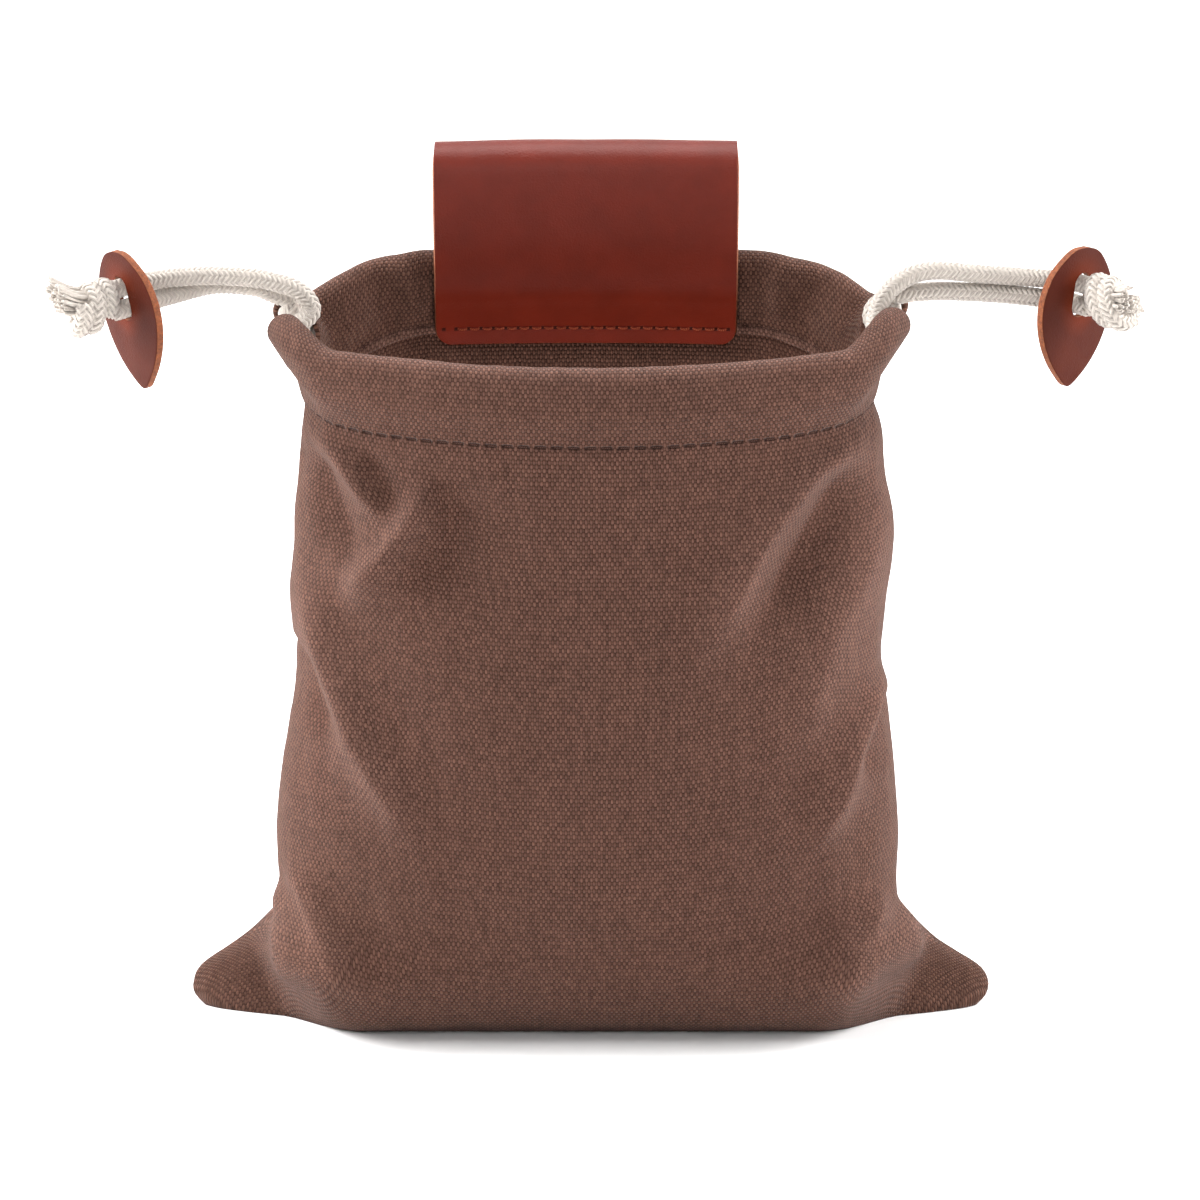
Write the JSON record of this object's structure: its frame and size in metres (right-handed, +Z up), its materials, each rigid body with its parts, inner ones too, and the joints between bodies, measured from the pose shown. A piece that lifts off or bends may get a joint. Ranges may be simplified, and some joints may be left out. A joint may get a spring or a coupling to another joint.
{
  "type": "drawstring belt pouch",
  "caption": "Free-standing canvas drawstring pouch with a folded leather belt loop at the back and cotton drawcords that leave at both sides through leather toggles.",
  "frame": {"origin": "on the floor under the middle of the sack, at the bottom seam", "axes": "+Z up, the front of the pouch faces -Y, the belt loop is at the back towards +Y, and the drawcords leave towards -X and +X"},
  "size_m": [0.3353, 0.1054, 0.2709],
  "materials": {
    "canvas": "plain-weave cotton canvas, matt",
    "leather": "smooth red-brown leather, satin, raw tan edges",
    "cotton_cord": "braided cotton, off-white"
  },
  "bodies": {
    "root": {"front_panel": "canvas", "back_panel": "canvas", "belt_loop": "leather", "left_cord_in_hem": "cotton_cord", "right_cord_in_hem": "cotton_cord", "left_front_strand": "cotton_cord", "left_back_strand": "cotton_cord", "left_toggle": "leather", "left_knot": "cotton_cord", "right_front_strand": "cotton_cord", "right_back_strand": "cotton_cord", "right_toggle": "leather", "right_knot": "cotton_cord"}
  },
  "joints": []
}
